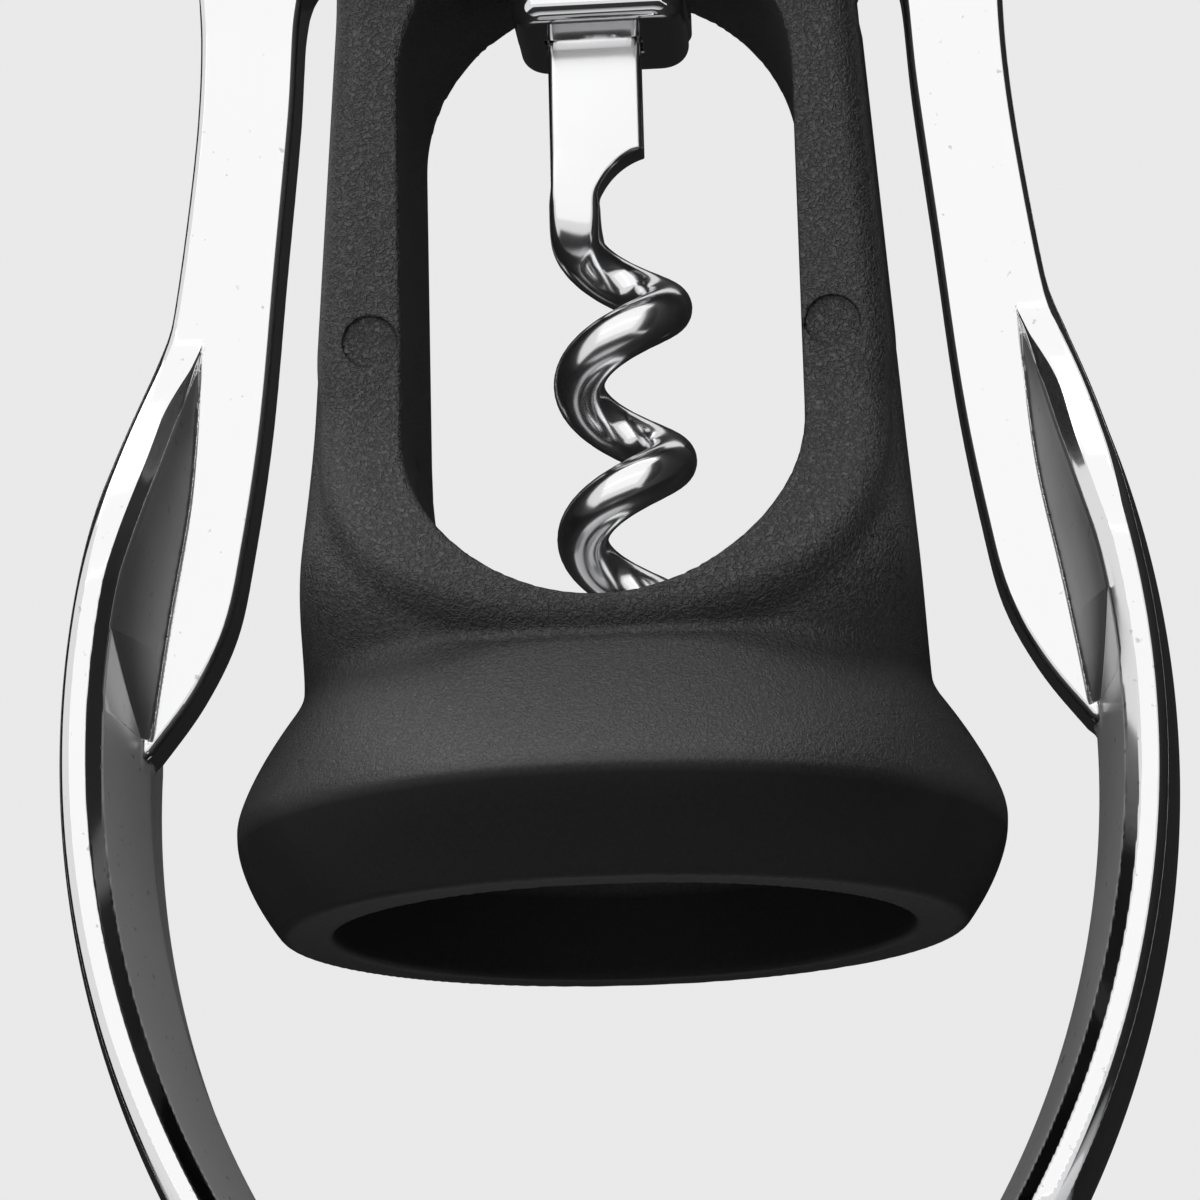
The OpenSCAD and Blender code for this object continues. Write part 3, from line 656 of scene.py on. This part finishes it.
def worm_rings():
    """Rings of the sweep from the rod's top through the flattened shank and the bend to the ground point."""
    sides = 32
    angles = np.linspace(0, 2 * math.pi, sides, endpoint=False)
    cosine, sine = np.cos(angles), np.sin(angles)
    turns = (COIL_TOP - POINT_Z) / WORM_PITCH
    climb = math.atan(WORM_PITCH / (2 * math.pi * COIL_MID))
    bend_r = 3.0
    bend_turn = math.pi / 2 - climb
    bend_run = bend_r * (1 - math.cos(bend_turn)) / (2 * math.pi * COIL_MID)
    bend_z = COIL_TOP + bend_r * math.sin(bend_turn) - WORM_PITCH * bend_run
    shank_right = SHANK_LEFT + SHANK_W
    hook_x, hook_z, hook_r = shank_right + 1.25, COIL_TOP + 1, 4.3
    rings = []

    def bulge(wave, power):
        return np.sign(wave) * np.abs(wave) ** (2 / power)

    def flat(z, middle, wide, deep, power):
        across = middle - wide * bulge(cosine, power)
        rings.append(np.stack([across, deep * bulge(sine, power), np.full(sides, z)], 1))

    def wire(t, z, tilt, r, share=1.0):
        a = math.pi - 2 * math.pi * t
        power = 4.5 - 2.5 * share
        out = COIL_MID + r * bulge(cosine, power)
        v = (r * share + SHANK_T / 2 * (1 - share)) * bulge(sine, power)
        rings.append(np.stack([COIL_SHIFT + out * math.cos(a) + v * math.cos(tilt) * math.sin(a),
                               out * math.sin(a) - v * math.cos(tilt) * math.cos(a),
                               z + v * math.sin(tilt)], 1))

    def shank(z, reach):
        t = float(ease((bend_z + 1.4 - z) / 1.4))
        middle = (reach + SHANK_LEFT) / 2 * (1 - t) + COIL_X * t
        wide = (reach - SHANK_LEFT) / 2 * (1 - t) + WIRE_R * t
        flat(z, middle, wide, SHANK_T / 2, 9 - 4.5 * t)

    for z in (HANDLE_Z + BOSS_H + 0.4, COLLAR_TOP, SHANK_TOP + 1.2):
        flat(z, 0, ROD_R, ROD_R, 2)
    for z, grow in ((SHANK_TOP + 0.75, 0.8), (SHANK_TOP + 0.6, 1)):
        flat(z, (SHANK_LEFT + SHANK_W / 2) * grow, SHANK_W / 2 * grow, SHANK_T / 2 + 0.75 * (1 - grow), 9)
    for z in np.linspace(SHANK_TOP - 0.5, hook_z + 4.25, 8):
        shank(z, shank_right)
    first = math.asin((hook_x - shank_right) / hook_r)
    last = math.acos((bend_z - hook_z) / hook_r)
    for h in np.linspace(first, last, 26):
        shank(hook_z + hook_r * math.cos(h), hook_x - hook_r * math.sin(h))
    for h in np.linspace(0, bend_turn, 14)[1:]:
        run = bend_r * (1 - math.cos(h)) / (2 * math.pi * COIL_MID)
        wire(run, bend_z - bend_r * math.sin(h), h, WIRE_R, float(ease(h / bend_turn)))
    ground = 0.7
    for t in np.linspace(bend_run, turns, int((turns - bend_run) * 56))[1:]:
        r = WIRE_R
        if t >= turns - ground:
            r = WIRE_R * (0.08 + 0.92 * (max(turns - t, 0) / ground) ** 0.75)
        wire(t, COIL_TOP - WORM_PITCH * t, bend_turn, r)
    return rings


def sweep(rings):
    """Points and faces of a tube through equal rings, with its two ends closed."""
    n = len(rings[0])
    faces = []
    for k in range(len(rings) - 1):
        for i in range(n):
            j = (i + 1) % n
            faces.append((k * n + i, k * n + j, (k + 1) * n + j, (k + 1) * n + i))
    ends = [tuple(range(n))[::-1], tuple((len(rings) - 1) * n + i for i in range(n))]
    return np.concatenate(rings), faces + ends


# Finishes

def material(name, colour, metallic, roughness):
    """A new material with its node tree and shader."""
    m = bpy.data.materials.new(name)
    m.use_nodes = True
    shader = m.node_tree.nodes["Principled BSDF"]
    shader.inputs["Base Color"].default_value = (*colour, 1)
    shader.inputs["Metallic"].default_value = metallic
    shader.inputs["Roughness"].default_value = roughness
    return m, m.node_tree, shader


def noise(tree, scale, detail):
    """A noise texture fixed to the object."""
    place = tree.nodes.new("ShaderNodeTexCoord")
    texture = tree.nodes.new("ShaderNodeTexNoise")
    texture.inputs["Scale"].default_value = scale
    texture.inputs["Detail"].default_value = detail
    tree.links.new(place.outputs["Object"], texture.inputs["Vector"])
    return texture


def ramp(tree, source, low, high, low_value, high_value):
    """A value that runs between two others as the source runs from low to high."""
    node = tree.nodes.new("ShaderNodeMapRange")
    node.inputs["From Min"].default_value = low
    node.inputs["From Max"].default_value = high
    node.inputs["To Min"].default_value = low_value
    node.inputs["To Max"].default_value = high_value
    tree.links.new(source, node.inputs["Value"])
    return node.outputs["Result"]


def bump(tree, shader, height, distance, strength):
    """Tilt the shader's normal by a height."""
    node = tree.nodes.new("ShaderNodeBump")
    node.inputs["Distance"].default_value = distance
    node.inputs["Strength"].default_value = strength
    tree.links.new(height, node.inputs["Height"])
    tree.links.new(node.outputs["Normal"], shader.inputs["Normal"])


def moulding():
    """Black moulded plastic with a fine grain: strong on the frame, weaker on the bell, faint on its lip.
    Its gloss is turned down on the lip as painted shade, so that the lip stays dark.
    """
    lip = (0.005, 0.0065)
    bell = (0.014, 0.018)
    m, tree, shader = material("grained_moulding", (0.012, 0.012, 0.0123), 0, 0.45)
    grain = noise(tree, 4600, 2)
    grain.inputs["Distortion"].default_value = 1.0
    place = tree.nodes.new("ShaderNodeTexCoord")
    split = tree.nodes.new("ShaderNodeSeparateXYZ")
    tree.links.new(place.outputs["Object"], split.inputs["Vector"])
    depth = tree.nodes.new("ShaderNodeMath")
    tree.links.new(ramp(tree, split.outputs["Z"], *lip, 0.05, 0.45), depth.inputs[0])
    tree.links.new(ramp(tree, split.outputs["Z"], *bell, 0, 0.55), depth.inputs[1])
    height = tree.nodes.new("ShaderNodeMath")
    height.operation = "MULTIPLY"
    tree.links.new(ramp(tree, grain.outputs["Fac"], 0.35, 0.65, -1, 1), height.inputs[0])
    tree.links.new(depth.outputs["Value"], height.inputs[1])
    bump(tree, shader, height.outputs["Value"], 0.00004, 0.9)
    gloss = tree.nodes.new("ShaderNodeMath")
    gloss.operation = "MULTIPLY_ADD"
    gloss.inputs[1].default_value = 0.32
    tree.links.new(height.outputs["Value"], gloss.inputs[0])
    # Painted shade: the specular level falls from 0.8 to 0.08 on the lip, so the downward-facing lip stays
    # dark though it faces the lit floor
    tree.links.new(ramp(tree, split.outputs["Z"], *lip, 0.08, 0.8), gloss.inputs[2])
    tree.links.new(gloss.outputs["Value"], shader.inputs["Specular IOR Level"])
    tree.links.new(ramp(tree, grain.outputs["Fac"], 0.3, 0.7, 0.4, 0.52), shader.inputs["Roughness"])
    return m


def plating(name, bright, low, high):
    """Plated or polished metal with a cloudy gloss."""
    m, tree, shader = material(name, (bright, bright, bright * 1.01), 1, low)
    cloud = noise(tree, 160, 3)
    tree.links.new(ramp(tree, cloud.outputs["Fac"], 0.35, 0.7, low, high), shader.inputs["Roughness"])
    bump(tree, shader, cloud.outputs["Fac"], 0.00003, 0.15)
    return m


def cast_plating(name, bright, low, high):
    """Plating with small specks, darker and duller and pitted where the cast attribute says so."""
    m, tree, shader = material(name, (bright, bright, bright), 1, low)
    cloud = noise(tree, 160, 3)
    pits = noise(tree, 1500, 2)
    cast = tree.nodes.new("ShaderNodeAttribute")
    cast.attribute_name = "cast"
    rough = tree.nodes.new("ShaderNodeMath")
    rough.operation = "MULTIPLY_ADD"
    rough.inputs[1].default_value = 0.3
    tree.links.new(cast.outputs["Fac"], rough.inputs[0])
    tree.links.new(ramp(tree, cloud.outputs["Fac"], 0.35, 0.7, low, high), rough.inputs[2])
    tree.links.new(rough.outputs["Value"], shader.inputs["Roughness"])
    tree.links.new(ramp(tree, cast.outputs["Fac"], 0, 0.5, 1, 0.15), shader.inputs["Metallic"])
    dark = tree.nodes.new("ShaderNodeMath")
    dark.operation = "ADD"
    tree.links.new(cast.outputs["Fac"], dark.inputs[0])
    tree.links.new(ramp(tree, pits.outputs["Fac"], 0.69, 0.76, 0, 0.35), dark.inputs[1])
    tone = tree.nodes.new("ShaderNodeMix")
    tone.data_type = "RGBA"
    tone.inputs[6].default_value = (bright, bright, bright * 1.01, 1)
    tone.inputs[7].default_value = (0.06, 0.06, 0.062, 1)
    tree.links.new(dark.outputs["Value"], tone.inputs["Factor"])
    tree.links.new(tone.outputs[2], shader.inputs["Base Color"])
    height = tree.nodes.new("ShaderNodeMath")
    height.operation = "MULTIPLY_ADD"
    tree.links.new(cast.outputs["Fac"], height.inputs[0])
    tree.links.new(pits.outputs["Fac"], height.inputs[1])
    tree.links.new(cloud.outputs["Fac"], height.inputs[2])
    bump(tree, shader, height.outputs["Value"], 0.00003, 0.15)
    return m


MOULDING = moulding()
LEVER = cast_plating("lever_plating", 0.86, 0.05, 0.1)
CHROME = plating("bright_plating", 0.86, 0.05, 0.1)
STEEL = plating("polished_steel", 0.84, 0.14, 0.2)
DULL = plating("dull_steel", 0.55, 0.25, 0.38)

# Pieces

STEP_BODY = 0.4
STEP_LEVER = 0.22
STEP_HANDLE = 0.3
STEP_COLLAR = 0.12
points, faces = surface(body_field, (-27.5, -23, -1), (27.5, 23, 88), STEP_BODY)
points, faces = refined(body_field, points, faces, near_edge, STEP_BODY)
mesh_object("body_moulding", points, faces, MOULDING, "frame", "moulding", "body",
            normals=normals_of(body_field, points, STEP_BODY / 4))

points, faces = surface(lever_field, (-15.5, -11, -103.5), (15.5, 11, 15.5), STEP_LEVER)
points, faces = refined(lever_field, points, faces, near_web, STEP_LEVER)
normals = normals_of(lever_field, points, STEP_LEVER / 4)
cast = cast_finish(points, normals)
for side, name in ((1, "right"), (-1, "left")):
    flip = np.array([side, 1, 1])
    placed = (points + np.array([PIVOT_X, 0, PIVOT_Z])) * flip
    turned = [face[::side] for face in faces]
    mesh_object(name + "_lever_casting", placed, turned, LEVER, name + "_arm", "lever_plating",
                name + "_lever", normals=normals * flip, cast=cast)

points, faces = surface(handle_field, (-22.5, -8, HANDLE_Z - 1), (22.5, 8, HANDLE_Z + 38), STEP_HANDLE)
mesh_object("handle_casting", points, faces, CHROME, "screw", "handle_plating", "handle",
            normals=normals_of(handle_field, points, STEP_HANDLE))
points, faces = surface(collar_field, (-6, -6, COLLAR_TOP - 4.2), (6, 6, COLLAR_TOP + 0.5), STEP_COLLAR)
mesh_object("collar_block", points, faces, CHROME, "screw", "collar_plating", "collar",
            normals=normals_of(collar_field, points, STEP_COLLAR))
points, faces = lathe(rack_profile(), 96)
mesh_object("rack_rings", points, faces, CHROME, "rack", "rack_plating", "rack_sleeve")

points, faces = sweep(worm_rings())
mesh_object("worm_wire", points, faces, STEEL, "screw", "worm_steel", "worm")

# The small pieces that keep their solids
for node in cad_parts.values():
    if node.hide_render:
        continue
    node.data.materials.clear()
    node.data.materials.append(DULL)

# Floor, light and camera

# Metres: the floor is a disc that fades out before its edge, and the camera looks up from below it
FLOOR_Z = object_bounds()[0][2]
FLOOR_R = 0.08
FLOOR_SIDES = 96
FLOOR_FADE = (0.045, 0.081)
disc = bpy.data.meshes.new("floor")
turns = [2 * math.pi * i / FLOOR_SIDES for i in range(FLOOR_SIDES)]
rim = [(FLOOR_R * math.cos(a), FLOOR_R * math.sin(a), FLOOR_Z) for a in turns]
disc.from_pydata(rim, [], [list(range(FLOOR_SIDES))])
floor = bpy.data.objects.new("floor", disc)
bpy.context.scene.collection.objects.link(floor)
pale, tree, shader = material("pale_floor", (0.78, 0.78, 0.79), 0, 0.6)
place = tree.nodes.new("ShaderNodeTexCoord")
reach = tree.nodes.new("ShaderNodeVectorMath")
reach.operation = "LENGTH"
tree.links.new(place.outputs["Object"], reach.inputs[0])
tree.links.new(ramp(tree, reach.outputs["Value"], *FLOOR_FADE, 1, 0), shader.inputs["Alpha"])
cloud = noise(tree, 30, 2)
tree.links.new(ramp(tree, cloud.outputs["Fac"], 0.3, 0.7, 0.55, 0.65), shader.inputs["Roughness"])
disc.materials.append(pale)


def flag(name, corners):
    """A dark studio card that only reflections show."""
    sheet = bpy.data.meshes.new(name)
    sheet.from_pydata(corners, [], [(0, 1, 2, 3)])
    card = bpy.data.objects.new(name, sheet)
    bpy.context.scene.collection.objects.link(card)
    card.visible_camera = False
    card.visible_diffuse = False
    card.visible_transmission = False
    card.visible_shadow = False
    sheet.materials.append(DARK)


DARK, tree, shader = material("dark_card", (0.009, 0.009, 0.009), 0, 0.9)
cloud = noise(tree, 20, 2)
tree.links.new(ramp(tree, cloud.outputs["Fac"], 0.3, 0.7, 0.85, 0.95), shader.inputs["Roughness"])
CARD_LOW = -0.12
CARD_BACK = 0.35


def side_card(x, front, top):
    """Corners of an upright card beside the object."""
    return [(x, front, CARD_LOW), (x, CARD_BACK, CARD_LOW), (x, CARD_BACK, top), (x, front, top)]


flag("low_flag", [(-0.25, -0.45, CARD_LOW), (0.25, -0.45, CARD_LOW),
                  (0.25, CARD_BACK, CARD_LOW), (-0.25, CARD_BACK, CARD_LOW)])
flag("right_flag", side_card(0.32, -0.4, 0.65))
flag("left_flag", side_card(-0.32, 0.05, 0.55))
flag("back_flag", [(-0.3, CARD_BACK, CARD_LOW), (0.3, CARD_BACK, CARD_LOW),
                   (0.3, CARD_BACK, 0.45), (-0.3, CARD_BACK, 0.45)])


def softbox(name, place, target, size, power):
    """A soft lamp with a closed back, so that no reflection adds what is behind it."""
    lamp = bpy.data.lights.new(name, "AREA")
    lamp.shape = "RECTANGLE"
    lamp.size, lamp.size_y = size
    lamp.energy = power
    box = bpy.data.objects.new(name, lamp)
    box.location = place
    turn = (Vector(target) - Vector(place)).to_track_quat("-Z", "Y")
    box.rotation_euler = turn.to_euler()
    bpy.context.scene.collection.objects.link(box)
    back = 0.01
    half_w, half_h = size[0] / 2, size[1] / 2
    corners = [(-half_w, -half_h), (half_w, -half_h), (half_w, half_h), (-half_w, half_h)]
    flag(name + "_back", [Vector(place) + turn @ Vector((u, v, back)) for u, v in corners])


softbox("front", (-0.04, -0.5, 0.22), (0, 0, 0.03), (0.62, 0.42), 0.88)
softbox("upper", (-0.05, -0.31, 0.43), (0, 0, 0.03), (0.56, 0.5), 0.95)
softbox("top", (-0.07, 0.03, 0.47), (0, 0.02, 0.02), (0.24, 0.5), 0.9)

# The world is a pale backdrop to the camera and in reflections, and weaker as a light
AMBIENT = 0.35
BACKDROP = 0.82
world = bpy.data.worlds.new("studio")
bpy.context.scene.world = world
world.use_nodes = True
tree = world.node_tree
background = tree.nodes["Background"]
background.inputs["Color"].default_value = (1, 1, 1, 1)
rays = tree.nodes.new("ShaderNodeLightPath")
seen = rays.outputs["Is Camera Ray"]
for kind in ("Is Glossy Ray", "Is Transmission Ray"):
    either = tree.nodes.new("ShaderNodeMath")
    either.operation = "MAXIMUM"
    tree.links.new(seen, either.inputs[0])
    tree.links.new(rays.outputs[kind], either.inputs[1])
    seen = either.outputs["Value"]
tree.links.new(ramp(tree, seen, 0, 1, AMBIENT, BACKDROP), background.inputs["Strength"])

# The camera of the photograph, fitted to the rim, the window and the levers
CAMERA_PLACE = Vector((15.22, -238.76, -39.48)) * MM
CAMERA_FORWARD = Vector((-0.0656, 0.9685, 0.2401)).normalized()
CAMERA_UP = Vector((0.0418, -0.2378, 0.9704)).normalized()
PHOTO_SIDE = 1200
FOCAL_PIXELS = 4247
camera_data = bpy.data.cameras.new("camera")
camera_data.sensor_width = 36
camera_data.lens = 36 * FOCAL_PIXELS / PHOTO_SIDE
camera_data.clip_start = 0.005
camera = bpy.data.objects.new("camera", camera_data)
bpy.context.scene.collection.objects.link(camera)
camera_right = CAMERA_FORWARD.cross(CAMERA_UP).normalized()
camera_up = camera_right.cross(CAMERA_FORWARD)
turn = Matrix((camera_right, camera_up, -CAMERA_FORWARD)).transposed()
camera.matrix_world = Matrix.Translation(CAMERA_PLACE) @ turn.to_4x4()
bpy.context.scene.camera = camera

bpy.context.scene.view_settings.view_transform = "Standard"
